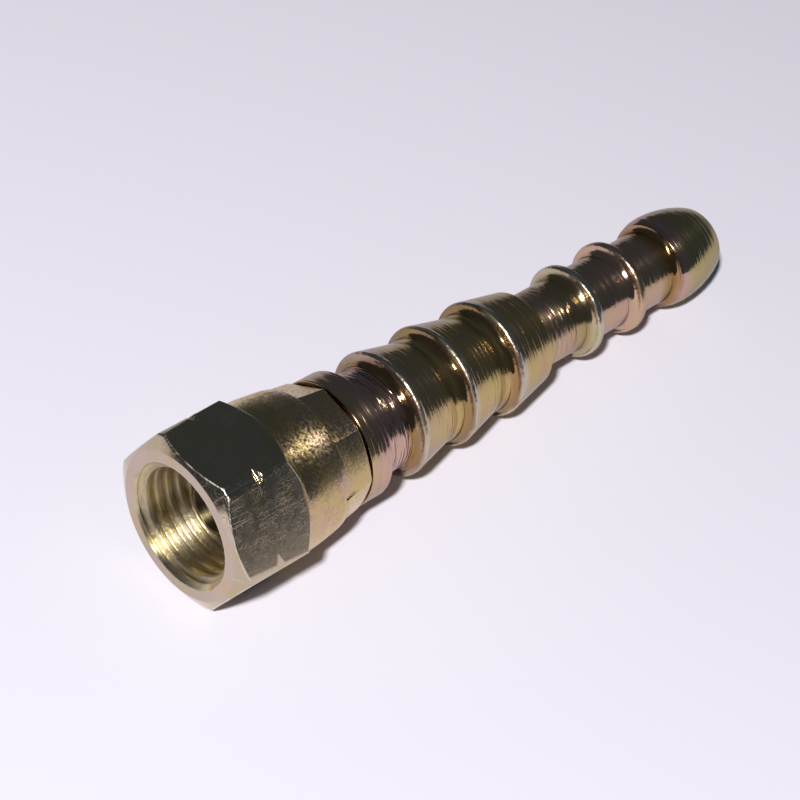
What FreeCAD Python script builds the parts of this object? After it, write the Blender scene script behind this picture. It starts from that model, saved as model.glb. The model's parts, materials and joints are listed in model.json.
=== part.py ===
import FreeCAD, Part
import math
import os
import Sketcher

# Gas hose adapter in passivated steel. A left-hand union nut, turned from
# hexagon bar, swivels on a hose tail turned in one piece. The nut's skirt is
# crimped inwards over the tail's flange, so the two never come apart.
#
# Both pieces are drawn along X, from the nut's front face (X = 0) towards the
# free end of the tail. They are then tipped together, because the adapter lies
# on the rear end of one hexagon flat and on the bulb at the end of the tail.
# The finished frame has +Z up, with its origin at the middle of the footprint.

# Driving dimensions, in millimetres and degrees.
DIMENSIONS = [
    ("across_flats", 17.0, "hexagon of the union nut"),
    ("hex_length", 9.5, "front face to the rear end of the flats"),
    ("face_diameter", 16.0, "flat ring at the mouth of the nut"),
    ("chamfer_length", 0.7, "steep chamfer on the front corners"),
    ("chamfer_diameter", 19.0, "where the steep chamfer ends"),
    ("relief_end", 8.0, "where the shallow corner relief runs out"),
    ("notch_place", 4.7, "middle of the left-hand notches"),
    ("notch_width", 1.2, "width of a notch at the corner"),
    ("notch_diameter", 18.4, "bottom of the notches"),
    ("skirt_diameter", 16.8, "round skirt, where it leaves the hexagon"),
    ("crimp_start", 14.6, "where the crimped part of the skirt starts"),
    ("crimp_diameter", 16.0, "skirt at the start of the crimp"),
    ("nut_length", 18.9, "whole length of the nut"),
    ("lip_diameter", 14.5, "rear lip of the nut"),
    ("lip_bevel", 0.2, "bevelled outer edge of the lip"),
    ("jaw_depth", 0.3, "depth of a crimping jaw's flat at the lip"),
    ("jaw_count", 8, "crimping jaws round the skirt"),
    ("jaw_turn", 15.5, "turn of the first jaw from the top flat"),
    ("mouth_diameter", 13.7, "countersunk mouth"),
    ("thread_core", 11.445, "core of the G1/4 left-hand thread"),
    ("thread_end", 8.4, "front face to the end of the threaded wall"),
    ("chamber_diameter", 13.7, "plain chamber that holds the flange"),
    ("lip_bore", 11.9, "bore of the crimped lip"),
    ("lip_land", 0.8, "straight length of the lip's bore"),
    ("gas_bore", 5.3, "gas way through the tail"),
    ("nose_place", 4.2, "front face of the nut to the tip of the nose"),
    ("nose_tip", 6.1, "flat tip of the nose"),
    ("nose_diameter", 11.0, "root of the 60 degree nose"),
    ("flange_place", 8.9, "front of the flange that the nut pulls on"),
    ("swivel_clearance", 0.08, "radial gap round the flange"),
    ("lip_clearance", 0.2, "radial gap inside the crimped lip"),
    ("collar_gap", 0.3, "gap between the lip and the collar"),
    ("collar_diameter", 14.1, "collar behind the nut"),
    ("collar_length", 2.7, "collar along the axis"),
    ("step_length", 0.7, "slope from the collar down to the first root"),
    ("first_root", 11.4, "root in front of the first barb"),
    ("first_crest", 14.1, "first barb"),
    ("second_root", 11.9, "root in front of the second barb"),
    ("second_crest", 13.7, "second barb"),
    ("third_root", 11.4, "root in front of the third barb"),
    ("third_crest", 13.2, "third barb"),
    ("barb_place", 26.8, "front face of the nut to the first crest"),
    ("barb_pitch", 7.35, "from one large crest to the next"),
    ("barb_face", 1.5, "steep face of a large barb, along the axis"),
    ("cove_length", 0.75, "hollow foot of a large barb, along the axis"),
    ("cove_rise", 0.35, "hollow foot of a large barb, across the axis"),
    ("root_land", 0.6, "straight root in front of a large barb"),
    ("shoulder_place", 47.2, "end of the large stretch"),
    ("shoulder_diameter", 11.0, "large stretch where it ends"),
    ("shoulder_slope", 0.9, "step down to the small stretch"),
    ("small_root", 8.6, "roots of the small stretch"),
    ("ridge_offset", 8.0, "end of the large stretch to the first small crest"),
    ("ridge_pitch", 7.1, "from one small crest to the next"),
    ("ridge_crest", 10.8, "small crests"),
    ("ridge_land", 0.6, "straight top of a small crest"),
    ("ridge_front", 1.1, "front face of a small ridge or of the bulb"),
    ("ridge_back", 0.8, "rear face of a small ridge"),
    ("bulb_shoulder", 10.3, "front edge of the bulb"),
    ("bulb_diameter", 10.8, "bulb at its crown"),
    ("bulb_crown", 1.8, "front edge of the bulb to its crown"),
    ("bulb_nose", 6.5, "crown of the bulb to its end"),
    ("bulb_end", 7.8, "end face of the bulb"),
    ("bulb_round", 1.2, "rounding between the bulb and its end face"),
]


class Size:
    """A number together with the sheet formula that gives it."""

    def __init__(self, value, formula):
        self.value = value
        self.formula = formula

    def joined(self, sign, other, value):
        return Size(value, f"({self.formula} {sign} {as_size(other).formula})")

    def __add__(self, other):
        return self.joined("+", other, self.value + as_size(other).value)

    def __sub__(self, other):
        return self.joined("-", other, self.value - as_size(other).value)

    def __mul__(self, other):
        return self.joined("*", other, self.value * as_size(other).value)

    def __truediv__(self, other):
        return self.joined("/", other, self.value / as_size(other).value)


def as_size(number):
    """Lets plain numbers stand beside sheet sizes in a formula."""
    return number if isinstance(number, Size) else Size(float(number), repr(number))


def fill_sheet(document):
    """Writes the driving dimensions and returns them by name."""
    sheet = document.addObject("Spreadsheet::Sheet", "Sizes")
    sizes = {}
    for row, (name, value, meaning) in enumerate(DIMENSIONS, start=1):
        sheet.set(f"A{row}", str(value))
        sheet.setAlias(f"A{row}", name)
        sheet.set(f"B{row}", meaning)
        sizes[name] = Size(float(value), f"Sizes.{name}")
    document.recompute()
    return sizes


document = FreeCAD.newDocument("gas_hose_adapter")
size = fill_sheet(document)

NONE = Size(0.0, "0")
ROOT_OF_3 = Size(math.sqrt(3.0), "sqrt(3)")
CURVED = "curved"
START = 1
STOP = 2
SPARE = 1.0
SAME_PLACE = 1e-4

# Sizes that several features share.
flat_radius = size["across_flats"] / 2
corner_radius = size["across_flats"] / ROOT_OF_3
clear_radius = corner_radius + SPARE
skirt_radius = size["skirt_diameter"] / 2
crimp_radius = size["crimp_diameter"] / 2
lip_radius = size["lip_diameter"] / 2
chamber_radius = size["chamber_diameter"] / 2
lip_bore_radius = size["lip_bore"] / 2
land_start = size["nut_length"] - size["lip_land"]
small_radius = size["small_root"] / 2
ridge_radius = size["ridge_crest"] / 2
ridge_start = size["shoulder_place"] + size["ridge_offset"]
bulb_start = ridge_start + size["ridge_pitch"] * 2
crown_place = bulb_start + size["bulb_crown"]
tail_end = crown_place + size["bulb_nose"]
bulb_radius = size["bulb_diameter"] / 2
bulb_rim = (tail_end, size["bulb_end"] / 2)


def body_named(name):
    body = document.addObject("PartDesign::Body", name)
    body.Label = name
    return body


def plane_of(body, role):
    """One of a body's own origin planes or axes."""
    return next(item for item in body.Origin.OriginFeatures if item.Role == role)


def new_sketch(body, name, role):
    sketch = body.newObject("Sketcher::SketchObject", name)
    sketch.AttachmentSupport = (plane_of(body, role), [""])
    sketch.MapMode = "FlatFace"
    return sketch


def hold(sketch, kind, *where):
    """Adds one sketch constraint and returns its number."""
    return sketch.addConstraint(Sketcher.Constraint(kind, *where))


def hold_at(sketch, kind, where, distance):
    """A distance from the sketch's origin that follows the sheet."""
    number = hold(sketch, kind, -1, 1, *where, distance.value)
    sketch.setExpression(f"Constraints[{number}]", distance.formula)


def level_arc(level, other):
    """An arc that leaves the level point along the axis and ends at the other."""
    rise = other.y - level.y
    length = other.x - level.x
    radius = (length * length + rise * rise) / (2 * abs(rise))
    centre = FreeCAD.Vector(level.x, level.y + math.copysign(radius, rise), 0)
    first, last = (level, other) if rise > 0 else (other, level)
    start = math.atan2(first.y - centre.y, first.x - centre.x)
    stop = math.atan2(last.y - centre.y, last.x - centre.x)
    circle = Part.Circle(centre, FreeCAD.Vector(0, 0, 1), radius)
    return Part.ArcOfCircle(circle, start, stop), (START if rise > 0 else STOP)


def draw_profile(sketch, corners):
    """Closes an outline through (along, radius) corners that the sheet holds.

    The side that leaves a corner marked CURVED is an arc, level at that corner.
    """
    points = [FreeCAD.Vector(corner[0].value, corner[1].value, 0) for corner in corners]
    count = len(points)
    leaving_end = {}
    arriving_end = {}
    for index, corner in enumerate(corners):
        following = (index + 1) % count
        if CURVED in corner:
            side, level_end = level_arc(points[index], points[following])
        else:
            side, level_end = Part.LineSegment(points[index], points[following]), START
        sketch.addGeometry(side)
        leaving_end[index] = level_end
        arriving_end[following] = START if level_end == STOP else STOP
    for index, corner in enumerate(corners):
        before = (index - 1) % count
        hold(sketch, "Coincident", before, arriving_end[index], index, leaving_end[index])
        hold_point(sketch, (index, leaving_end[index]), corner)
        if CURVED in corner:
            hold_at(sketch, "DistanceX", (index, 3), corner[0])


def hold_point(sketch, where, corner):
    """Keeps one corner at its distance along the axis and from the axis."""
    along, radius = corner[0], corner[1]
    if along is NONE:
        hold(sketch, "PointOnObject", *where, -2)
    else:
        hold_at(sketch, "DistanceX", where, along)
    if radius is NONE:
        hold(sketch, "PointOnObject", *where, -1)
    else:
        hold_at(sketch, "DistanceY", where, radius)


def revolve(body, kind, name, sketch):
    """Turns a sketch round the X axis: Revolution adds, Groove cuts."""
    feature = body.newObject(f"PartDesign::{kind}", name)
    feature.Profile = sketch
    feature.ReferenceAxis = (sketch, ["H_Axis"])
    feature.Angle = 360
    document.recompute()


def turned(body, kind, name, corners):
    """A profile of straight sides, turned round the X axis."""
    sketch = new_sketch(body, f"{name}_profile", "XZ_Plane")
    draw_profile(sketch, corners)
    revolve(body, kind, name, sketch)


def ring_edge(shape, place):
    """Names the circular edge at one (along, radius) place."""
    for number, edge in enumerate(shape.Edges, start=1):
        if isinstance(edge.Curve, Part.Circle):
            off_place = abs(edge.Curve.Center.x - place[0].value)
            off_size = abs(edge.Curve.Radius - place[1].value)
            if max(off_place, off_size) < SAME_PLACE:
                return f"Edge{number}"
    raise RuntimeError(f"no edge at {place[0].formula}")


def rounded(body, name, radius, place):
    """Rounds one circular edge of the body's last feature."""
    base = body.Tip
    fillet = body.newObject("PartDesign::Fillet", name)
    fillet.Base = (base, [ring_edge(base.Shape, place)])
    fillet.setExpression("Radius", radius.formula)
    document.recompute()


# Union nut

def hexagon_bar(body):
    """The hexagon bar that the nut is turned from, with one flat underneath."""
    sketch = new_sketch(body, "bar_section", "YZ_Plane")
    corner = corner_radius.value
    points = []
    for k in range(6):
        turn = math.radians(60 * k)
        points.append(FreeCAD.Vector(corner * math.cos(turn), corner * math.sin(turn), 0))
    for k in range(6):
        sketch.addGeometry(Part.LineSegment(points[k], points[(k + 1) % 6]))
    round_corners = Part.Circle(FreeCAD.Vector(0, 0, 0), FreeCAD.Vector(0, 0, 1), corner)
    circle = sketch.addGeometry(round_corners, True)
    hold(sketch, "Coincident", circle, 3, -1, 1)
    radius = hold(sketch, "Radius", circle, corner)
    sketch.setExpression(f"Constraints[{radius}]", corner_radius.formula)
    for k in range(6):
        hold(sketch, "Coincident", k, 2, (k + 1) % 6, 1)
        hold(sketch, "PointOnObject", k, 1, circle)
    for k in range(1, 6):
        hold(sketch, "Equal", 0, k)
    hold(sketch, "Horizontal", 1)
    bar = body.newObject("PartDesign::Pad", "hexagon_bar")
    bar.Profile = sketch
    bar.setExpression("Length", size["nut_length"].formula)
    document.recompute()


def turn_front(body):
    """Steep chamfer and shallow relief that run over the front corners."""
    turned(body, "Groove", "front_turning", [
        (NONE, size["face_diameter"] / 2),
        (size["chamfer_length"], size["chamfer_diameter"] / 2),
        (size["relief_end"], corner_radius),
        (size["relief_end"], clear_radius),
        (NONE, clear_radius),
    ])


def turn_skirt(body):
    """Round skirt behind the hexagon, narrowed towards the crimped lip."""
    turned(body, "Groove", "skirt_turning", [
        (size["hex_length"] + flat_radius - corner_radius, corner_radius),
        (size["hex_length"] + flat_radius - skirt_radius, skirt_radius),
        (size["crimp_start"], crimp_radius),
        (size["nut_length"] - size["lip_bevel"], lip_radius),
        (size["nut_length"], lip_radius - size["lip_bevel"]),
        (size["nut_length"], clear_radius),
        (size["hex_length"] + flat_radius - corner_radius, clear_radius),
    ])


def bore_nut(body):
    """Countersunk mouth, threaded wall, chamber for the flange and crimped lip."""
    mouth = size["mouth_diameter"] / 2
    core = size["thread_core"] / 2
    turned(body, "Groove", "inside_turning", [
        (NONE, NONE),
        (size["nut_length"], NONE),
        (size["nut_length"], lip_bore_radius),
        (land_start, lip_bore_radius),
        (size["crimp_start"], chamber_radius),
        (size["thread_end"], chamber_radius),
        (size["thread_end"], core),
        (mouth - core, core),
        (NONE, mouth),
    ])


def notch_corners(body):
    """V groove round the hexagon: it only bites the corners, as a left-hand mark."""
    half = size["notch_width"] / 2
    turned(body, "Groove", "left_hand_notches", [
        (size["notch_place"] - half, corner_radius),
        (size["notch_place"], size["notch_diameter"] / 2),
        (size["notch_place"] + half, corner_radius),
        (size["notch_place"] + half, clear_radius),
        (size["notch_place"] - half, clear_radius),
    ])


def press_jaws(body):
    """Flats left on the rear of the skirt by the crimping jaws."""
    sketch = new_sketch(body, "jaw_profile", "XZ_Plane")
    turn = FreeCAD.Rotation(FreeCAD.Vector(1, 0, 0), size["jaw_turn"].value)
    sketch.AttachmentOffset = FreeCAD.Placement(FreeCAD.Vector(0, 0, 0), turn)
    sketch.setExpression("AttachmentOffset.Rotation.Angle", size["jaw_turn"].formula)
    draw_profile(sketch, [
        (size["crimp_start"], crimp_radius - size["jaw_depth"]),
        (size["nut_length"], lip_radius - size["jaw_depth"]),
        (size["nut_length"], clear_radius),
        (size["crimp_start"], clear_radius),
    ])
    jaw = body.newObject("PartDesign::Pocket", "crimp_jaw")
    jaw.Profile = sketch
    jaw.Midplane = True
    jaw.setExpression("Length", size["across_flats"].formula)
    document.recompute()
    jaws = body.newObject("PartDesign::PolarPattern", "crimp_jaws")
    jaws.Originals = [jaw]
    jaws.Axis = (plane_of(body, "X_Axis"), [""])
    jaws.Angle = 360
    jaws.setExpression("Occurrences", size["jaw_count"].formula)
    body.Tip = jaws
    document.recompute()


def make_swivel_nut():
    body = body_named("swivel_nut")
    hexagon_bar(body)
    turn_front(body)
    turn_skirt(body)
    notch_corners(body)
    bore_nut(body)
    press_jaws(body)
    return body


# Hose tail

def nose_and_flange():
    """Tip of the cone, flange inside the nut, neck through the lip and collar."""
    tip = size["nose_tip"] / 2
    nose = size["nose_diameter"] / 2
    flange = chamber_radius - size["swivel_clearance"]
    neck = lip_bore_radius - size["lip_clearance"]
    collar = size["collar_diameter"] / 2
    collar_front = size["nut_length"] + size["collar_gap"]
    collar_back = collar_front + size["collar_length"]
    return [
        (size["nose_place"], NONE),
        (size["nose_place"], tip),
        (size["nose_place"] + (nose - tip) * ROOT_OF_3, nose),
        (size["flange_place"], nose),
        (size["flange_place"], flange),
        (size["crimp_start"] - size["lip_clearance"], flange),
        (land_start - size["lip_clearance"], neck),
        (collar_front, neck),
        (collar_front, collar),
        (collar_back, collar),
        (collar_back + size["step_length"], size["first_root"] / 2),
    ]


LARGE_BARBS = [
    ("first_root", "first_crest"),
    ("second_root", "second_crest"),
    ("third_root", "third_crest"),
]


def large_barbs():
    """Saw-tooth barbs: a steep face with a hollow foot, then a long taper."""
    corners = []
    for index, (root, crest) in enumerate(LARGE_BARBS):
        crest_place = size["barb_place"] + size["barb_pitch"] * index
        foot_place = crest_place - size["barb_face"]
        root_radius = size[root] / 2
        if index > 0:
            corners.append((foot_place - size["root_land"], root_radius))
        corners.append((foot_place, root_radius, CURVED))
        corners.append((foot_place + size["cove_length"], root_radius + size["cove_rise"]))
        corners.append((crest_place, size[crest] / 2))
    corners.append((size["shoulder_place"], size["shoulder_diameter"] / 2))
    corners.append((size["shoulder_place"] + size["shoulder_slope"], small_radius))
    return corners


def small_ridges():
    """Two narrow ridges on the small stretch."""
    corners = []
    for index in range(2):
        front = ridge_start + size["ridge_pitch"] * index
        back = front + size["ridge_land"]
        corners.append((front - size["ridge_front"], small_radius))
        corners.append((front, ridge_radius))
        corners.append((back, ridge_radius))
        corners.append((back + size["ridge_back"], small_radius))
    return corners


def bulb_outline():
    """Foot, front edge, crown, domed nose and end of the bulb."""
    return [
        (bulb_start - size["ridge_front"], small_radius),
        (bulb_start, size["bulb_shoulder"] / 2),
        (crown_place, bulb_radius, CURVED),
        bulb_rim,
        (tail_end, NONE),
    ]


def make_hose_tail():
    body = body_named("hose_tail")
    sketch = new_sketch(body, "tail_outline", "XZ_Plane")
    draw_profile(sketch, nose_and_flange() + large_barbs() + small_ridges() + bulb_outline())
    revolve(body, "Revolution", "tail_turning", sketch)
    rounded(body, "bulb_end_round", size["bulb_round"], bulb_rim)
    bore = size["gas_bore"] / 2
    turned(body, "Groove", "gas_way", [
        (size["nose_place"], NONE),
        (tail_end, NONE),
        (tail_end, bore),
        (size["nose_place"], bore),
    ])
    return body


# Resting pose

def lay_down(bodies):
    """Tips both pieces onto the flat's rear end and the bulb, and centres them."""
    run = crown_place.value - size["hex_length"].value
    drop = flat_radius.value - bulb_radius.value
    tip = FreeCAD.Placement(
        FreeCAD.Vector(0, 0, 0),
        FreeCAD.Rotation(FreeCAD.Vector(0, 1, 0), math.degrees(math.atan2(drop, run))),
    )
    box = FreeCAD.BoundBox()
    for body in bodies:
        shape = body.Shape.copy()
        shape.Placement = tip
        box.add(shape.optimalBoundingBox(False))
    shift = FreeCAD.Vector(-box.Center.x, -box.Center.y, -box.ZMin)
    for body in bodies:
        body.Placement = FreeCAD.Placement(shift, tip.Rotation)
    document.recompute()
    return shift, tip


def check_document():
    """Stops if any feature failed or any piece isn't a sound solid."""
    for item in document.Objects:
        if "Invalid" in item.State or "Error" in item.State:
            raise RuntimeError(f"{item.Name} did not compute")


def write_piece(body):
    shape = body.Shape
    if shape.isNull() or not shape.isValid() or len(shape.Solids) != 1:
        raise RuntimeError(f"{body.Label} is not one sound solid")
    shape.exportStep(f"parts/{body.Label}.step")
    print(body.Label, "volume", round(shape.Volume, 2), "mm3")


pieces = [make_swivel_nut(), make_hose_tail()]
shift, tip = lay_down(pieces)
check_document()
os.makedirs("parts", exist_ok=True)
for piece in pieces:
    write_piece(piece)
print("front face centre", shift, "tipped", tip.Rotation.Angle, "rad")
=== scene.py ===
import json
import math

import bpy
import numpy as np
from mathutils import Matrix, Vector


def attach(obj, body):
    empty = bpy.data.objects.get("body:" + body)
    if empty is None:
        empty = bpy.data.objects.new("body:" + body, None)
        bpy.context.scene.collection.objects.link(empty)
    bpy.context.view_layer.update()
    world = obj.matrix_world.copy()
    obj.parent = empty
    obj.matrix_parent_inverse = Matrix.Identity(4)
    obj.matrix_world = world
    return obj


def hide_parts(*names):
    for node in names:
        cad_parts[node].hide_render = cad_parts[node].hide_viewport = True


# Gas hose adapter: a left-hand union nut that swivels on a stepped hose tail,
# both turned from steel, with a yellow passivated zinc coat.
#
# Both pieces are drawn in the adapter's own axes, in millimetres: X runs along
# the axis from the nut's front face, Z points out of the nut's top flat. A turn
# round the axis is measured from Z towards -Y.

MM = 0.001

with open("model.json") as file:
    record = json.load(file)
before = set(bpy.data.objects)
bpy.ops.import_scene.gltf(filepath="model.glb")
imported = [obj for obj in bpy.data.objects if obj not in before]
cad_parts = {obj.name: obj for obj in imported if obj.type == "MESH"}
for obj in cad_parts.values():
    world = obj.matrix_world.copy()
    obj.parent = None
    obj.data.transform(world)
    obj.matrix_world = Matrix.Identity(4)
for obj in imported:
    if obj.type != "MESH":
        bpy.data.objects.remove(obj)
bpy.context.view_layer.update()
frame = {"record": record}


def adapter_axes():
    """Places the adapter's own axes, in millimetres, in the frame."""
    mouth = next(m for m in frame["record"]["mounts"] if m["name"] == "gas_thread")
    along = -Vector(mouth["axis"])
    across = Vector((0, 1, 0))
    up = along.cross(across)
    turn = Matrix((along, across, up)).transposed().to_4x4()
    return Matrix.Translation(mouth["pos_m"]) @ turn @ Matrix.Scale(MM, 4)


ADAPTER = adapter_axes()

# Outlines and meshes

SIDE_STEP = 1.2
SIDE_MARGIN = 0.05
ARC_STEP = math.radians(9)


def rounded_outline(corners):
    """Points along straight sides whose corners (x, r, rounding) are arcs."""
    points = []
    count = len(corners)
    for i, (x, r, rounding) in enumerate(corners):
        here = np.array((x, r))
        before = np.array(corners[i - 1][:2]) - here
        after = np.array(corners[(i + 1) % count][:2]) - here
        before /= np.linalg.norm(before)
        after /= np.linalg.norm(after)
        half = math.acos(np.clip(before @ after, -1, 1)) / 2
        reach = rounding / math.tan(half)
        middle = (before + after) / np.linalg.norm(before + after)
        centre = here + middle * rounding / math.sin(half)
        first = here + before * reach - centre
        last = here + after * reach - centre
        sweep = math.pi - 2 * half
        pieces = max(2, math.ceil(sweep / ARC_STEP))
        for k in range(pieces + 1):
            part = k / pieces
            from_first = math.sin((1 - part) * sweep) * first
            from_last = math.sin(part * sweep) * last
            points.append(centre + (from_first + from_last) / math.sin(sweep))
    return refined(points)


def refined(points):
    """Divides the long sides evenly, from close to one end to close to the other."""
    result = []
    count = len(points)
    for i in range(count):
        start, end = points[i], points[(i + 1) % count]
        length = np.linalg.norm(end - start)
        cuts = [0.0]
        if length > SIDE_STEP:
            pieces = max(2, math.ceil(length / SIDE_STEP))
            cuts += list(np.linspace(SIDE_MARGIN, length - SIDE_MARGIN, pieces) / length)
        result += [start + (end - start) * cut for cut in cuts]
    return np.array(result)


def tube_mesh(name, x, r, turn):
    """A closed mesh from rings of (x, r, turn) points; the last ring meets the first."""
    x, r, turn = np.broadcast_arrays(x, r, turn)
    count, columns = r.shape
    points = np.stack([x, -r * np.sin(turn), r * np.cos(turn)], axis=-1).reshape(-1, 3)
    points = points @ np.array(ADAPTER.to_3x3()).T
    row = np.arange(count)[:, None] * columns
    following = ((np.arange(count)[:, None] + 1) % count) * columns
    column = np.arange(columns)[None, :]
    beside = (column + 1) % columns
    quads = np.stack([row + column, row + beside, following + beside, following + column], axis=-1)
    mesh = bpy.data.meshes.new(name)
    mesh.from_pydata(points.tolist(), [], quads.reshape(-1, 4).tolist())
    mesh.shade_smooth()
    piece = bpy.data.objects.new(name, mesh)
    piece.location = ADAPTER.translation
    bpy.context.scene.collection.objects.link(piece)
    return piece


# Hose tail: each corner of its outline is (x, radius, rounding)

TAIL_COLUMNS = 216
GAS_BORE = 2.65
NOSE_PLACE = 4.2
NOSE_TIP = 3.05
NOSE_ROOT = 5.5
NOSE_LENGTH = (NOSE_ROOT - NOSE_TIP) * math.sqrt(3)
FLANGE_PLACE = 8.9
FLANGE_END = 14.4
FLANGE_RADIUS = 6.77
NECK_PLACE = 17.9
NECK_RADIUS = 5.75
COLLAR_PLACE = 19.2
COLLAR_END = 21.9
COLLAR_RADIUS = 7.05

NOSE_TO_COLLAR = (
    (NOSE_PLACE, GAS_BORE, 0.1),
    (NOSE_PLACE, NOSE_TIP, 0.1),
    (NOSE_PLACE + NOSE_LENGTH, NOSE_ROOT, 0.3),
    (FLANGE_PLACE, NOSE_ROOT, 0.1),
    (FLANGE_PLACE, FLANGE_RADIUS, 0.15),
    (FLANGE_END, FLANGE_RADIUS, 0.15),
    (NECK_PLACE, NECK_RADIUS, 0.3),
    (COLLAR_PLACE, NECK_RADIUS, 0.1),
    (COLLAR_PLACE, COLLAR_RADIUS, 0.15),
    (COLLAR_END, COLLAR_RADIUS, 0.25),
    (22.6, 5.7, 0.4),
)

FACE_SLOPE = math.tan(math.radians(74))

# Large barbs: crest place, crest radius, root radius, hollow, end of the taper
LARGE_BARBS = (
    (26.7, 7.03, 5.7, 1.25, (31.9, 5.95, 0.5)),
    (34.05, 6.85, 5.95, 0.7, (39.3, 5.7, 0.5)),
    (41.4, 6.6, 5.7, 0.7, (47.2, 5.5, 0.15)),
)
BARB_EDGE = 0.45
BARB_LAND = 0.4
BARB_LAND_DROP = 0.03
BARB_REAR_EDGE = 0.25

SMALL_ROOT = 4.3
STEP_FOOT = (48.1, SMALL_ROOT, 0.4)

RIDGE_PLACES = (55.0, 62.1)
RIDGE_RADIUS = 5.38
RIDGE_HOLLOW = 0.95
RIDGE_EDGE = 0.4
RIDGE_LAND = 0.75
RIDGE_LENGTH = 1.5
RIDGE_REAR_EDGE = 0.3

BULB_PLACE = 69.3
BULB_EDGE_RADIUS = 5.0
BULB_HOLLOW = 0.7
BULB_EDGE = 0.2
BULB_SHOULDER = (70.3, 5.31, 0.5)
CROWN_PLACE = 71.2
CROWN_RADIUS = 5.4
DOME_RADIUS = 14.8
DOME_CORNERS = 6
DOME_ROUNDING = 0.05
TAIL_TIP = 77.7
BULB_END = ((TAIL_TIP, 3.9, 1.15), (TAIL_TIP, GAS_BORE, 0.15))


def hollow_face(crest_x, crest_r, root_r, hollow, edge):
    """Foot and crest of a barb's face, which rises out of a wide hollow."""
    return [(crest_x - (crest_r - root_r) / FACE_SLOPE, root_r, hollow), (crest_x, crest_r, edge)]


def large_barb(crest_x, crest_r, root_r, hollow, taper_end):
    rear_edge = (crest_x + BARB_LAND, crest_r - BARB_LAND_DROP, BARB_REAR_EDGE)
    return hollow_face(crest_x, crest_r, root_r, hollow, BARB_EDGE) + [rear_edge, taper_end]


def small_ridge(crest_x):
    rear_edge = (crest_x + RIDGE_LAND, RIDGE_RADIUS, RIDGE_REAR_EDGE)
    rear_foot = (crest_x + RIDGE_LENGTH, SMALL_ROOT, RIDGE_REAR_EDGE)
    face = hollow_face(crest_x, RIDGE_RADIUS, SMALL_ROOT, RIDGE_HOLLOW, RIDGE_EDGE)
    return face + [rear_edge, rear_foot]


def bulb():
    """Hose end of the tail: its back is an arc that falls from the crown."""
    corners = hollow_face(BULB_PLACE, BULB_EDGE_RADIUS, SMALL_ROOT, BULB_HOLLOW, BULB_EDGE)
    corners.append(BULB_SHOULDER)
    for k in range(DOME_CORNERS):
        radius = CROWN_RADIUS - DOME_RADIUS + math.sqrt(DOME_RADIUS ** 2 - k * k)
        corners.append((CROWN_PLACE + k, radius, DOME_ROUNDING))
    return corners + list(BULB_END)


def tail_outline():
    corners = list(NOSE_TO_COLLAR)
    for barb in LARGE_BARBS:
        corners += large_barb(*barb)
    corners.append(STEP_FOOT)
    for crest_x in RIDGE_PLACES:
        corners += small_ridge(crest_x)
    return rounded_outline(corners + bulb())


def make_tail():
    """The tail's outline, turned round the X axis."""
    outline = tail_outline()
    turn = np.linspace(0, 2 * math.pi, TAIL_COLUMNS, endpoint=False)
    piece = tube_mesh("hose_tail_turned", outline[:, 0:1], outline[:, 1:2], turn[None, :])
    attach(piece, "tail")
    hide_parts("hose_tail")
    return piece


# Union nut, outside: each turning is a row of (x, radius) points

ACROSS_FLATS = 17.0
HEX_CORNER = ACROSS_FLATS / math.sqrt(3)
FACE_RADIUS = 8.0
NUT_LENGTH = 18.9
SKIRT_START = 9.2
SKIRT_RADIUS = 7.8

FRONT_TURNING = (
    (-1.0, 6.2), (0.0, FACE_RADIUS), (0.42, 8.76), (0.86, 9.5), (8.0, HEX_CORNER), (30.0, 10.8),
)
REAR_TURNING = (
    (-1.0, 19.0), (9.68, 8.33), (10.8, 8.37), (11.9, 8.32), (13.6, 8.11), (14.6, 7.98),
    (16.5, 7.58), (18.35, 7.31), (NUT_LENGTH, 7.22),
)
FRONT_EDGE = 0.08
REAR_EDGE = 0.05

NOTCH_PLACE = 4.7
NOTCH_WIDTH = 1.2
NOTCH_RADIUS = 9.2
NOTCH_EDGE = 0.04

# Flats pressed into the skirt by the crimping jaws, and a dent between two jaws

JAW_START = 15.2
JAW_STEP = 0.12
JAW_DEPTHS = np.array((0.42, 0.24, 0.3, 0.4, 0.3, 0.4, 0.35, 0.56))
JAW_TURN = math.radians(12.5)
MARK_START = 14.7
MARK_LENGTH = 2.3
MARK_TURN = math.radians(78.5)
MARK_WIDTH = 0.38
MARK_TIP = 0.02
MARK_FADE = 1.3
MARK_DEPTH = 0.22

# Wear: the differences in radius over which it fades, and where its bands grow faint

FRONT_WEAR = 0.11
FRONT_WEAR_END = 1.0
REAR_WEAR = 0.1
REAR_WEAR_END = 9.6
CORNER_WEAR = 0.3
CORNER_WEAR_LEVEL = 0.9
FULL_WEAR = 1.2


def soft_min(a, b, softness):
    """The smaller of two surfaces, with the edge between them rounded."""
    near = np.clip(softness - np.abs(a - b), 0, None) / softness
    return np.minimum(a, b) - near ** 2 * softness / 4


def soft_max(a, b, softness):
    return -soft_min(-a, -b, softness)


def plain_surfaces(x, turn):
    """Radii of the hexagon, the front turning and the rear turning."""
    from_flat = (turn + math.pi / 6) % (math.pi / 3) - math.pi / 6
    hexagon = ACROSS_FLATS / 2 / np.cos(from_flat)
    return hexagon, np.interp(x, *zip(*FRONT_TURNING)), np.interp(x, *zip(*REAR_TURNING))


def nut_outside(x, turn):
    """Radius of the nut's outer surface at a place along the axis and a turn."""
    hexagon, front, rear = plain_surfaces(x, turn)
    radius = soft_min(soft_min(hexagon, front, FRONT_EDGE), rear, REAR_EDGE)
    slope = 2 * (HEX_CORNER - NOTCH_RADIUS) / NOTCH_WIDTH
    notch = NOTCH_RADIUS + np.abs(x - NOTCH_PLACE) * slope
    radius = soft_min(radius, notch, NOTCH_EDGE)
    return radius - jaw_flats(x, turn) - jaw_mark(x, turn)


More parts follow.
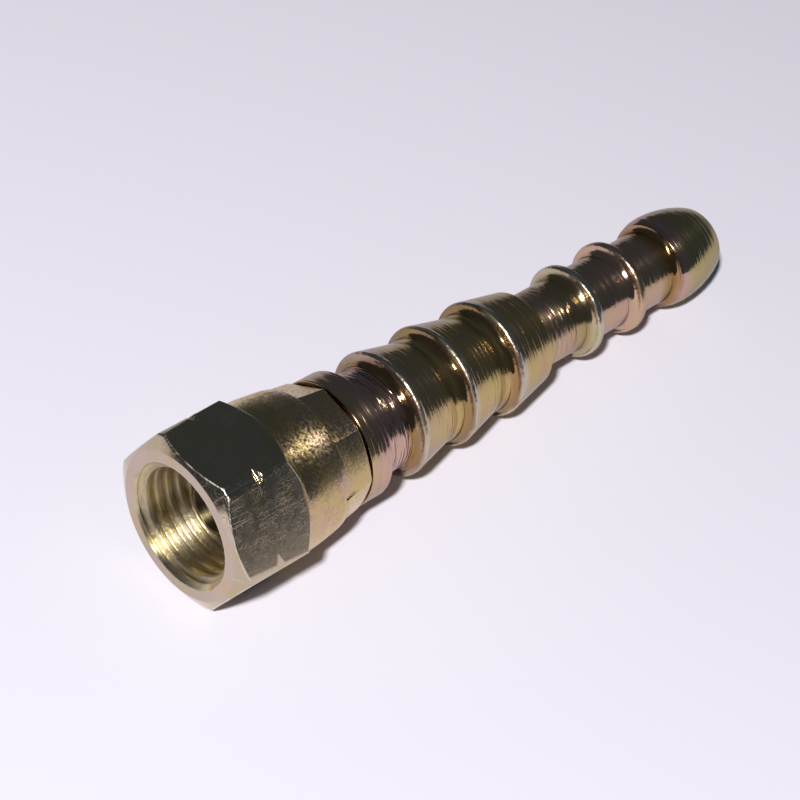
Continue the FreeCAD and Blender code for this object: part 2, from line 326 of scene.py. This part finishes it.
def jaw_flats(x, turn):
    """Depth of the flats that the jaws pressed."""
    jaw = math.tau / len(JAW_DEPTHS)
    from_first = (turn - JAW_TURN + jaw / 2) % math.tau
    across = (from_first % jaw) / (jaw / 2) - 1
    depth = JAW_DEPTHS[(from_first // jaw).astype(int)] * (1 - across ** 2)
    return depth * np.clip((x - JAW_START) / JAW_STEP, 0, 1)


def jaw_mark(x, turn):
    """Depth of a wedge-shaped dent where two jaws met, widest at its front."""
    along = (x - MARK_START) / MARK_LENGTH
    aside = (turn - MARK_TURN) * SKIRT_RADIUS
    half_width = MARK_WIDTH * (1 - along) / 2 + MARK_TIP
    inside = np.clip(MARK_FADE - np.abs(aside) / half_width, 0, 1)
    return MARK_DEPTH * inside * ((along > 0) & (along < 1))


def nut_wear(x, turn):
    """How worn the nut is: 1 along its chamfered edges, 0 away from them."""
    hexagon, front, rear = plain_surfaces(x, turn)
    at_front = np.abs(hexagon - front) / FRONT_WEAR + (x > FRONT_WEAR_END)
    at_rear = np.abs(np.minimum(hexagon, front) - rear) / REAR_WEAR + (x > REAR_WEAR_END)
    at_corner = CORNER_WEAR_LEVEL + (HEX_CORNER - hexagon) / CORNER_WEAR
    return np.clip(FULL_WEAR - np.minimum(np.minimum(at_front, at_rear), at_corner), 0, 1)


# Union nut, inside

MOUTH_RADIUS = 6.85
COUNTERSINK_SLOPE = 1.0
THREAD_PITCH = 25.4 / 19
THREAD_MAJOR = 13.157 / 2
THREAD_CORE = 11.85 / 2
THREAD_PHASE = 0.96
THREAD_START = 0.04
THREAD_END = 8.4
THREAD_EDGE = 0.05
CREST_SHARE = 0.25
FLANK_SHARE = 1.05
CHAMBER_RADIUS = 6.85
LIP_BORE = 5.95

CHAMBER_WALL = (
    (NUT_LENGTH, 6.1), (18.85, LIP_BORE), (18.1, LIP_BORE), (17.9, 5.97), (16.3, 6.4), (14.6, 6.83),
    (14.4, CHAMBER_RADIUS), (12.4, CHAMBER_RADIUS), (10.4, CHAMBER_RADIUS), (8.45, CHAMBER_RADIUS),
)


def nut_inside(x, turn):
    """Radius of the threaded wall: a rounded left-hand thread in a countersink."""
    phase = (x / THREAD_PITCH + turn / math.tau + THREAD_PHASE) % 1.0
    wave = 2 * np.abs(2 * phase - 1) - 1
    flank = np.clip((wave + CREST_SHARE) / FLANK_SHARE, 0, 1)
    flank = flank ** 2 * (3 - 2 * flank) * 0.5 + flank * 0.5
    thread = THREAD_CORE + (THREAD_MAJOR - THREAD_CORE) * flank
    countersink = MOUTH_RADIUS - x * COUNTERSINK_SLOPE
    return soft_max(thread, countersink, THREAD_EDGE)


# Union nut: rings along the axis, closer together where the shape changes

FLAT_COLUMNS = 60
CORNER_CROWDING = 0.45
EVEN_SHARE = 1 - CORNER_CROWDING
OUTER_STRETCHES = (
    (0.0, 0.1, 0.03), (0.1, 1.2, 0.09), (1.2, 4.0, 0.25), (4.0, 5.4, 0.07), (5.4, 7.6, 0.25),
    (7.6, 9.9, 0.08), (9.9, 14.5, 0.4), (14.5, 15.0, 0.1), (15.0, 15.4, 0.04), (15.4, 18.7, 0.2),
)
LIP_ROUND = 0.2
LIP_ANGLES = np.radians(np.arange(0, 91, 15))[:, None]
RINGS_PER_PITCH = 15
FACE_RINGS = (MOUTH_RADIUS + 0.03, 7.1, 7.5, FACE_RADIUS - 0.06)
BARE, MATTE, THREADED = range(3)


def nut_turns():
    """Column turns, closer together at the corners of the hexagon."""
    u = np.linspace(-1, 1, FLAT_COLUMNS, endpoint=False)
    within = 30 * (CORNER_CROWDING * np.sin(u * math.pi / 2) + EVEN_SHARE * u)
    return np.radians(np.concatenate([within + 60 * k for k in range(6)]))


def spread(*stretches):
    """Places along the axis: (start, end, step) stretches, each without its end."""
    return np.concatenate([np.arange(a, b - step / 3, step) for a, b, step in stretches])


def nut_bands(turn):
    """The nut's rings, in bands of places, radii and material numbers."""
    outer_x = spread(*OUTER_STRETCHES)[:, None]
    outer_kinds = np.where(outer_x[:, 0] > SKIRT_START, MATTE, BARE)
    lip_x = NUT_LENGTH - LIP_ROUND + LIP_ROUND * np.sin(LIP_ANGLES)
    lip_r = nut_outside(lip_x, turn) - LIP_ROUND + LIP_ROUND * np.cos(LIP_ANGLES)
    wall_x, wall_r = np.array(CHAMBER_WALL).T[:, :, None]
    inner_x = spread((THREAD_START, THREAD_END, THREAD_PITCH / RINGS_PER_PITCH))[::-1][:, None]
    face_r = np.array(FACE_RINGS)[:, None]
    return (
        (outer_x, nut_outside(outer_x, turn), outer_kinds),
        (lip_x, lip_r, MATTE),
        (wall_x, wall_r, THREADED),
        (inner_x, nut_inside(inner_x, turn), THREADED),
        (np.zeros_like(face_r), face_r, BARE),
    )


def make_nut():
    turn = nut_turns()[None, :]
    bands = nut_bands(turn)
    x = np.concatenate([places for places, radii, kind in bands])
    r = np.concatenate([radii * np.ones_like(turn) for places, radii, kind in bands])
    kinds = np.concatenate([np.broadcast_to(kind, len(places)) for places, radii, kind in bands])
    piece = tube_mesh("swivel_nut_machined", x, r, turn)
    piece.data.polygons.foreach_set("material_index", np.repeat(kinds, turn.size))
    outer_x = bands[0][0]
    wear = np.zeros(r.shape)
    wear[:len(outer_x)] = nut_wear(outer_x, turn)
    piece.data.attributes.new("wear", "FLOAT", "POINT").data.foreach_set("value", wear.ravel())
    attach(piece, "nut")
    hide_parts("swivel_nut")
    return piece


# Materials: a texture is given as its cells in a millimetre, along the axis and across it

NOISE_LOW, NOISE_HIGH = 0.3, 0.7
QUARTER_TURN = 0.25


class Shader:
    """A metallic material in the adapter's own axes, in millimetres."""

    def __init__(self, name):
        self.material = bpy.data.materials.new(name)
        self.material.use_nodes = True
        self.tree = self.material.node_tree
        self.surface = self.tree.nodes["Principled BSDF"]
        self.surface.inputs["Metallic"].default_value = 1.0
        place = self.add("ShaderNodeTexCoord").outputs["Object"]
        turn = self.add("ShaderNodeMapping")
        turn.inputs["Rotation"].default_value = ADAPTER.to_3x3().normalized().transposed().to_euler()
        turn.inputs["Scale"].default_value = (1 / MM, 1 / MM, 1 / MM)
        self.link(place, turn.inputs["Vector"])
        self.place = turn.outputs["Vector"]
        parts = self.add("ShaderNodeSeparateXYZ")
        self.link(self.place, parts.inputs[0])
        self.x = parts.outputs["X"]
        self.z = parts.outputs["Z"]

    def add(self, kind, **settings):
        node = self.tree.nodes.new(kind)
        for name, value in settings.items():
            setattr(node, name, value)
        return node

    def link(self, output, socket):
        self.tree.links.new(output, socket)

    def feed(self, value, socket):
        """Gives a socket a colour, a number or another node's output."""
        if isinstance(value, tuple):
            socket.default_value = (*value, 1)
        elif isinstance(value, (int, float)):
            socket.default_value = value
        else:
            self.link(value, socket)

    def stretched(self, along, across):
        """Object space scaled along the axis and across it, for textures."""
        node = self.add("ShaderNodeVectorMath", operation="MULTIPLY")
        self.link(self.place, node.inputs[0])
        node.inputs[1].default_value = (along, across, across)
        return node.outputs[0]

    def noise(self, vector, scale=1.0, detail=2.0, roughness=0.5, distortion=0.0):
        node = self.add("ShaderNodeTexNoise")
        self.link(vector, node.inputs["Vector"])
        node.inputs["Scale"].default_value = scale
        node.inputs["Detail"].default_value = detail
        node.inputs["Roughness"].default_value = roughness
        node.inputs["Distortion"].default_value = distortion
        return node.outputs["Fac"]

    def ramp(self, value, stops):
        """Colours or grey levels at places between 0 and 1."""
        node = self.add("ShaderNodeValToRGB")
        elements = node.color_ramp.elements
        while len(elements) < len(stops):
            elements.new(0.5)
        for element, (place, level) in zip(elements, sorted(stops)):
            element.position = place
            element.color = (*level, 1) if isinstance(level, tuple) else (level, level, level, 1)
        self.link(value, node.inputs["Fac"])
        return node.outputs["Color"]

    def span(self, value, low, high, to_low=0.0, to_high=1.0):
        """Brings a value from one reach to another, and holds it at both ends."""
        node = self.add("ShaderNodeMapRange")
        self.link(value, node.inputs["Value"])
        sockets = ("From Min", "From Max", "To Min", "To Max")
        for socket, number in zip(sockets, (low, high, to_low, to_high)):
            node.inputs[socket].default_value = number
        return node.outputs["Result"]

    def level(self, noise, to_low=0.0, to_high=1.0):
        """Brings the usual reach of a noise to another reach."""
        return self.span(noise, NOISE_LOW, NOISE_HIGH, to_low, to_high)

    def mix(self, factor, first, second, blend="MIX"):
        node = self.add("ShaderNodeMix", data_type="RGBA", blend_type=blend)
        sockets = (node.inputs["Factor"], node.inputs[6], node.inputs[7])
        for socket, value in zip(sockets, (factor, first, second)):
            self.feed(value, socket)
        return node.outputs[2]

    def bump(self, height, distance, below=None, strength=1.0):
        node = self.add("ShaderNodeBump")
        node.inputs["Strength"].default_value = strength
        node.inputs["Distance"].default_value = distance * MM
        self.link(height, node.inputs["Height"])
        if below is not None:
            self.link(below, node.inputs["Normal"])
        return node.outputs["Normal"]

    def work_out(self, operation, *values):
        node = self.add("ShaderNodeMath", operation=operation)
        for socket, value in zip(node.inputs, values):
            self.feed(value, socket)
        return node.outputs[0]

    def product(self, first, second):
        return self.work_out("MULTIPLY", first, second)

    def total(self, first, second):
        return self.work_out("ADD", first, second)

    def hairlines(self, vector, width, distortion, scale=1.0):
        """Thin curved lines, where a noise crosses its middle level."""
        value = self.noise(vector, scale=scale, detail=1.0, distortion=distortion)
        away = self.work_out("SUBTRACT", value, 0.5)
        return self.span(self.work_out("ABSOLUTE", away), 0.0, width, 1.0, 0.0)

    def comb_along_axis(self, strength):
        """Rings left by turning spread a highlight along the axis."""
        around = self.add("ShaderNodeTangent", direction_type="RADIAL", axis="X")
        self.link(around.outputs[0], self.surface.inputs["Tangent"])
        self.surface.inputs["Anisotropic Rotation"].default_value = QUARTER_TURN
        self.feed(strength, self.surface.inputs["Anisotropic"])

    def finish(self, colour, roughness, normal):
        self.link(colour, self.surface.inputs["Base Color"])
        self.link(roughness, self.surface.inputs["Roughness"])
        self.link(normal, self.surface.inputs["Normal"])
        return self.material


ROSE = (0.59, 0.40, 0.34)
PINK = (0.57, 0.43, 0.37)
PALE = (0.53, 0.44, 0.33)
SAND = (0.57, 0.41, 0.25)
STRAW = (0.60, 0.45, 0.20)
GOLD = (0.58, 0.43, 0.20)
# Painted shade: darkens the face of the first small ridge
RIDGE_FACE_PAINTED_SHADE = (0.42, 0.32, 0.15)
# Painted highlight: a paler tint on the crests that whitens their glints
CREST_PAINTED_HIGHLIGHT = (0.62, 0.56, 0.45)
# Painted shade: darkens the steep faces of the large barbs all round
BARB_FACE_PAINTED_SHADE = (0.30, 0.21, 0.13)
OLIVE = (0.50, 0.41, 0.20)
MOSS = (0.36, 0.33, 0.20)
CLAY = (0.58, 0.41, 0.29)
AMBER = (0.40, 0.25, 0.09)
BROWN = (0.33, 0.18, 0.06)
STEEL = (0.52, 0.43, 0.29)
WORN = (0.78, 0.74, 0.66)
# Painted shade: the dark tint of the tail where it lies inside the nut
NOSE_PAINTED_SHADE = (0.20, 0.16, 0.10)
LOWER_FACE_TINT = (0.74, 0.82, 0.74)
UPPER_FACE_TINT = (1.0, 1.0, 1.0)


def iridescence(shader, texture, stops):
    """Passivation colours that drift slowly over the surface."""
    drift = shader.noise(shader.stretched(*texture), detail=3.0, roughness=0.6)
    return shader.ramp(shader.level(drift), stops)


# Tail: levels at places along the axis, in millimetres

TAIL_REACH = (2.0, 80.0)

# These tints hold painted shade inside the nut and on the steep barb and ridge faces, and a painted
# highlight on the crests
TAIL_TINTS = (
    (18.9, NOSE_PAINTED_SHADE), (19.3, SAND), (22.6, ROSE), (25.3, ROSE), (25.9, BROWN),
    (26.6, BARB_FACE_PAINTED_SHADE), (26.8, CREST_PAINTED_HIGHLIGHT), (27.6, SAND), (31.2, GOLD), (31.9, AMBER), (32.5, STRAW),
    (33.4, AMBER), (34.0, BARB_FACE_PAINTED_SHADE), (34.2, CREST_PAINTED_HIGHLIGHT), (35.2, GOLD), (38.7, GOLD), (39.4, AMBER),
    (40.0, STRAW), (40.8, AMBER), (41.35, BARB_FACE_PAINTED_SHADE), (41.55, CREST_PAINTED_HIGHLIGHT), (43.0, GOLD), (46.5, GOLD),
    (50.0, CLAY), (54.5, RIDGE_FACE_PAINTED_SHADE), (55.2, CREST_PAINTED_HIGHLIGHT),
    (57.0, CLAY), (66.5, CLAY), (68.1, AMBER), (68.9, BROWN), (69.9, ROSE), (71.5, OLIVE),
)

TAIL_ROUGHNESS = (
    (15.0, 0.5), (18.5, 0.18), (22.0, 0.18), (22.6, 0.17), (25.3, 0.17),
    (26.3, 0.13), (26.5, 0.27), (27.05, 0.27), (27.2, 0.13),
    (33.7, 0.13), (33.88, 0.27), (34.4, 0.27), (34.55, 0.13),
    (41.05, 0.13), (41.23, 0.27), (41.75, 0.27), (41.9, 0.13),
    (47.5, 0.13), (48.3, 0.27), (51.0, 0.24), (52.5, 0.14),
    (54.9, 0.24), (55.5, 0.24), (55.7, 0.15),
    (61.9, 0.15), (62.0, 0.24), (62.6, 0.24), (62.8, 0.15), (80.0, 0.14),
)

TAIL_GROOVES = (
    (18.5, 0.2), (22.0, 0.25), (22.6, 1.0), (25.5, 0.9), (26.6, 0.15), (47.5, 0.15),
    (48.3, 1.0), (51.5, 1.0), (53.0, 0.2), (56.0, 0.15), (69.0, 0.15), (80.0, 0.06),
)

COMBED, SMOOTH = 0.9, 0.1
TAIL_COMBING = (
    (26.45, COMBED), (26.58, SMOOTH), (27.05, SMOOTH), (27.2, COMBED),
    (33.8, COMBED), (33.92, SMOOTH), (34.4, SMOOTH), (34.55, COMBED),
    (41.15, COMBED), (41.27, SMOOTH), (41.75, SMOOTH), (41.9, COMBED),
    (54.75, COMBED), (54.9, SMOOTH), (55.5, SMOOTH), (55.7, COMBED),
    (61.85, COMBED), (62.0, SMOOTH), (62.6, SMOOTH), (62.8, COMBED),
)

SHIMMER = ((0.0, (1.0, 0.92, 0.98)), (0.45, (1.02, 1.0, 0.98)), (1.0, (0.98, 1.03, 0.82)))
EDGE_TINT = (0.60, 0.63, 0.68, 1.0)

TAIL_RINGS = (2.8, 0.2)
TAIL_DRIFT = (0.5, 0.3)
TAIL_GRAIN = (3.5, 2.2)
TAIL_DENTS = (1.6, 1.3)
TAIL_SHIMMER = (0.35, 0.3)
RING_JITTER = 0.12
DRIFT_JITTER = 0.15
DEEP_RINGS = (0.54, 0.66, 0.0, 0.6)
SHALLOW_RINGS = (0.0, 0.35)
RING_GLINT = (-0.03, 0.05)
TAIL_GRAIN_HEIGHT = 0.014
GROOVE_HEIGHT = 0.16
DENT_HEIGHT = 0.09


def along_tail(shader, place, stops):
    start, end = TAIL_REACH
    placed = [((x - start) / (end - start), level) for x, level in stops]
    return shader.ramp(shader.span(place, start, end), placed)


def turned_steel():
    """Lathe-turned surfaces: fine rings round the axis, tinted band by band, with bands of painted
    shade and of painted highlight.
    """
    shader = Shader("turned_passivated")
    rings = shader.noise(shader.stretched(*TAIL_RINGS), detail=1.0, roughness=0.6)
    drift = shader.noise(shader.stretched(*TAIL_DRIFT), detail=2.0)
    place = shader.total(shader.x, shader.level(rings, -RING_JITTER, RING_JITTER))
    place = shader.total(place, shader.level(drift, -DRIFT_JITTER, DRIFT_JITTER))
    tints = along_tail(shader, place, TAIL_TINTS)
    colour = shader.mix(1.0, tints, iridescence(shader, TAIL_SHIMMER, SHIMMER), "MULTIPLY")
    steps = shader.total(shader.span(rings, *DEEP_RINGS), shader.level(rings, *SHALLOW_RINGS))
    grooves = shader.product(steps, along_tail(shader, shader.x, TAIL_GROOVES))
    grain = shader.noise(shader.stretched(*TAIL_GRAIN), detail=2.0)
    normal = shader.bump(grain, TAIL_GRAIN_HEIGHT)
    normal = shader.bump(grooves, GROOVE_HEIGHT, below=normal)
    combing = along_tail(shader, shader.x, TAIL_COMBING)
    shader.comb_along_axis(combing)
    dents = shader.noise(shader.stretched(*TAIL_DENTS), detail=2.0)
    dents = shader.product(dents, shader.span(combing, COMBED, SMOOTH))
    normal = shader.bump(dents, DENT_HEIGHT, below=normal)
    shader.surface.inputs["Specular Tint"].default_value = EDGE_TINT
    glint = shader.level(rings, *RING_GLINT)
    roughness = shader.total(along_tail(shader, shader.x, TAIL_ROUGHNESS), glint)
    return shader.finish(colour, roughness, normal)


# Nut's front face and flats

FACE_TINTS = ((0.0, SAND), (0.4, PALE), (1.0, PINK))
FACE_DRIFT_REACH = (0.35, 0.65)
# The front face grows darker and greener towards its bottom
FACE_HEIGHT_TINTS = ((0.0, LOWER_FACE_TINT), (0.6, UPPER_FACE_TINT))
FACE_HEIGHT_REACH = (-9.0, 1.0)
FLAT_TINTS = ((0.0, OLIVE), (0.45, STEEL))
FACE_TO_FLATS = (0.05, 0.2)
BARE_DRIFT = (0.3, 0.25)
RUBBING = (0.5, 0.5)
RUBBED = (0.3, 0.55)
WELL_RUBBED = (0.45, 0.65)
LEAST_WEAR = 0.25
CURL_SCALE, CURL_WIDTH, CURL_WAVER = 0.8, 0.018, 2.2
SCORES = (0.12, 2.4)
SCORE_WIDTH, SCORE_WAVER = 0.025, 0.3
CLOUD = (1.2, 1.2)
CLOUD_HEIGHT = 0.009
CLOUD_STRENGTH = 0.3
CLOUD_ROUGHNESS = (0.09, 0.13)
SCRATCH_HEIGHT = 0.0026
SCRATCH_ROUGHNESS = 0.20
WEAR_ROUGHNESS = 0.4


def bare_steel():
    """Milled flats and front face of the nut, scratched by handling."""
    shader = Shader("flats_passivated")
    drift = shader.noise(shader.stretched(*BARE_DRIFT), detail=3.0, roughness=0.6)
    face = shader.ramp(shader.span(drift, *FACE_DRIFT_REACH), FACE_TINTS)
    height_tint = shader.ramp(shader.span(shader.z, *FACE_HEIGHT_REACH), FACE_HEIGHT_TINTS)
    face = shader.mix(1.0, face, height_tint, "MULTIPLY")
    flats = shader.ramp(shader.level(drift), FLAT_TINTS)
    colour = shader.mix(shader.span(shader.x, *FACE_TO_FLATS), face, flats)
    curls = shader.hairlines(shader.place, CURL_WIDTH, CURL_WAVER, scale=CURL_SCALE)
    scores = shader.hairlines(shader.stretched(*SCORES), SCORE_WIDTH, SCORE_WAVER)
    rubbed = shader.noise(shader.stretched(*RUBBING), detail=2.0)
    curls = shader.product(curls, shader.span(rubbed, *RUBBED))
    scores = shader.product(scores, shader.span(rubbed, *WELL_RUBBED))
    scratches = shader.total(curls, scores)
    wear = shader.add("ShaderNodeAttribute", attribute_name="wear").outputs["Fac"]
    wear = shader.product(wear, shader.span(rubbed, *RUBBED, LEAST_WEAR))
    roughness = shader.product(scratches, SCRATCH_ROUGHNESS)
    roughness = shader.total(roughness, shader.product(wear, WEAR_ROUGHNESS))
    cloud = shader.noise(shader.stretched(*CLOUD), detail=4.0)
    normal = shader.bump(cloud, CLOUD_HEIGHT, strength=CLOUD_STRENGTH)
    normal = shader.bump(scratches, SCRATCH_HEIGHT, below=normal)
    colour = shader.mix(wear, colour, WORN)
    roughness = shader.total(shader.level(cloud, *CLOUD_ROUGHNESS), roughness)
    return shader.finish(colour, roughness, normal)


# Nut's skirt: levels from its front, 0, to its lip, 1

SKIRT_REACH = (9.0, 19.0)
SKIRT_TINTS = ((0.0, ROSE), (0.25, SAND), (0.7, STRAW), (1.0, OLIVE))
SKIRT_ROUGHNESS = ((0.0, 0.25), (0.15, 0.25), (0.28, 0.33), (0.5, 0.36), (0.6, 0.24), (1.0, 0.22))
SKIRT_GLINT = ((0.0, 0.12), (0.15, 0.14), (0.28, 0.22), (0.5, 0.24), (0.65, 0.14), (1.0, 0.10))
SKIRT_DRIFT = (0.4, 0.25)
SKIRT_GRAIN = (3.2, 2.4)
SKIRT_GRAIN_HEIGHT = 0.028
SKIRT_COMBING = 0.97


def matte_steel():
    """Skirt of the nut, grained by the crimping."""
    shader = Shader("skirt_passivated")
    colour = iridescence(shader, SKIRT_DRIFT, SKIRT_TINTS)
    grain = shader.noise(shader.stretched(*SKIRT_GRAIN), detail=3.0, roughness=0.7)
    normal = shader.bump(grain, SKIRT_GRAIN_HEIGHT)
    shader.comb_along_axis(SKIRT_COMBING)
    place = shader.span(shader.x, *SKIRT_REACH)
    glint = shader.product(shader.level(grain, -1.0, 1.0), shader.ramp(place, SKIRT_GLINT))
    roughness = shader.total(shader.ramp(place, SKIRT_ROUGHNESS), glint)
    return shader.finish(colour, roughness, normal)


# Nut's inside: levels from its mouth, 0, to its lip, 1

INSIDE_REACH = (0.0, 18.0)
INSIDE_TINTS = ((0.0, MOSS), (0.45, STEEL), (0.75, OLIVE), (1.0, AMBER))
# Painted shade: multiplies the inside's colour down away from the mouth
INSIDE_PAINTED_SHADE = ((0.0, 1.15), (0.03, 1.15), (0.45, 1.05), (0.5, 0.35), (1.0, 0.12))
INSIDE_ROUGHNESS = ((0.0, 0.30), (0.015, 0.30), (0.035, 0.46), (1.0, 0.46))
INSIDE_DRIFT = (0.8, 0.4)
STREAKS = (4.0, 0.5)
STREAK_HEIGHT = 0.06
STREAK_GLINT = (0.35, 0.65, -0.06, 0.08)
INSIDE_GRAIN = (3.0, 2.0)
INSIDE_GRAIN_HEIGHT = 0.04
MOUTH_EDGE = (0.2, 0.6)
MOUTH_GRAIN = 0.15
INSIDE_COMBING = 0.85


def threaded_steel():
    """Thread and chamber inside the nut, with painted shade that deepens away from the mouth."""
    shader = Shader("thread_passivated")
    tints = iridescence(shader, INSIDE_DRIFT, INSIDE_TINTS)
    place = shader.span(shader.x, *INSIDE_REACH)
    shade = shader.ramp(place, INSIDE_PAINTED_SHADE)
    colour = shader.mix(1.0, tints, shade, "MULTIPLY")
    streaks = shader.noise(shader.stretched(*STREAKS), detail=3.0, roughness=0.7)
    grain = shader.noise(shader.stretched(*INSIDE_GRAIN), detail=3.0, roughness=0.7)
    beyond_mouth = shader.span(shader.x, *MOUTH_EDGE, MOUTH_GRAIN)
    normal = shader.bump(shader.product(streaks, beyond_mouth), STREAK_HEIGHT)
    normal = shader.bump(shader.product(grain, beyond_mouth), INSIDE_GRAIN_HEIGHT, below=normal)
    shader.comb_along_axis(INSIDE_COMBING)
    roughness = shader.ramp(place, INSIDE_ROUGHNESS)
    roughness = shader.total(roughness, shader.span(streaks, *STREAK_GLINT))
    return shader.finish(colour, roughness, normal)


# Floor, in metres

FLOOR_SIDE = 6.0
FLOOR_COLOUR = (0.80, 0.77, 0.85, 1)
FLOOR_ROUGHNESS = 0.9


def make_floor():
    bpy.ops.mesh.primitive_plane_add(size=FLOOR_SIDE, location=(0, 0, 0))
    floor = bpy.context.object
    floor.name = "floor"
    material = bpy.data.materials.new("pale_paper")
    material.use_nodes = True
    shader = material.node_tree.nodes["Principled BSDF"]
    shader.inputs["Base Color"].default_value = FLOOR_COLOUR
    shader.inputs["Roughness"].default_value = FLOOR_ROUGHNESS
    floor.data.materials.append(material)


# Camera, in the adapter's own axes

CAMERA_PLACE = Vector((-101.674, -101.104, 156.202))
CAMERA_RIGHT = Vector((0.71367, -0.68221, 0.15895))
CAMERA_DOWN = Vector((-0.39628, -0.58031, -0.71148))
CAMERA_AHEAD = Vector((0.57762, 0.44478, -0.68449))
SENSOR_WIDTH = 36.0
FOCAL_LENGTH = 99.0
NEAREST_SEEN = 10 * MM


def in_frame(direction):
    return (ADAPTER.to_3x3() @ direction).normalized()


def make_camera():
    data = bpy.data.cameras.new("camera")
    data.sensor_width = SENSOR_WIDTH
    data.lens = FOCAL_LENGTH
    data.clip_start = NEAREST_SEEN
    camera = bpy.data.objects.new("camera", data)
    bpy.context.scene.collection.objects.link(camera)
    right, up, back = in_frame(CAMERA_RIGHT), in_frame(-CAMERA_DOWN), in_frame(-CAMERA_AHEAD)
    turn = Matrix((right, up, back)).transposed().to_4x4()
    camera.matrix_world = Matrix.Translation(ADAPTER @ CAMERA_PLACE) @ turn
    bpy.context.scene.camera = camera
    return camera


# Light, in metres and watts

FLASH_OFFSET = Vector((-0.022, 0.030, 0.0))
FLASH_TARGET = Vector((0.0, 0.0, 0.005))
FLASH_DISTANCE = 0.7
FLASH_SIZE = 0.05
FLASH_POWER = 6.1
FLASH_COLOUR = (1.0, 0.99, 0.985)
ROOM_COLOUR = (0.050, 0.060, 0.079, 1)


def make_flash(camera):
    """A flash beside the lens: nearly all the light comes from the viewer's side."""
    eye = camera.matrix_world.translation
    offset = camera.matrix_world.to_3x3() @ FLASH_OFFSET
    towards = (eye + offset - FLASH_TARGET).normalized()
    place = FLASH_TARGET + towards * FLASH_DISTANCE
    data = bpy.data.lights.new("flash", "AREA")
    data.shape = "DISK"
    data.size = FLASH_SIZE
    data.energy = FLASH_POWER
    data.color = FLASH_COLOUR
    lamp = bpy.data.objects.new("flash", data)
    bpy.context.scene.collection.objects.link(lamp)
    lamp.location = place
    lamp.rotation_euler = (FLASH_TARGET - place).to_track_quat("-Z", "Y").to_euler()


def make_room():
    """A dim room round the floor."""
    world = bpy.data.worlds.new("room")
    world.use_nodes = True
    background = world.node_tree.nodes["Background"]
    background.inputs["Color"].default_value = ROOM_COLOUR
    background.inputs["Strength"].default_value = 1.0
    bpy.context.scene.world = world


tail = make_tail()
tail.data.materials.append(turned_steel())
nut = make_nut()
for material in (bare_steel(), matte_steel(), threaded_steel()):
    nut.data.materials.append(material)
make_floor()
make_flash(make_camera())
make_room()

bpy.context.scene.view_settings.view_transform = "Standard"
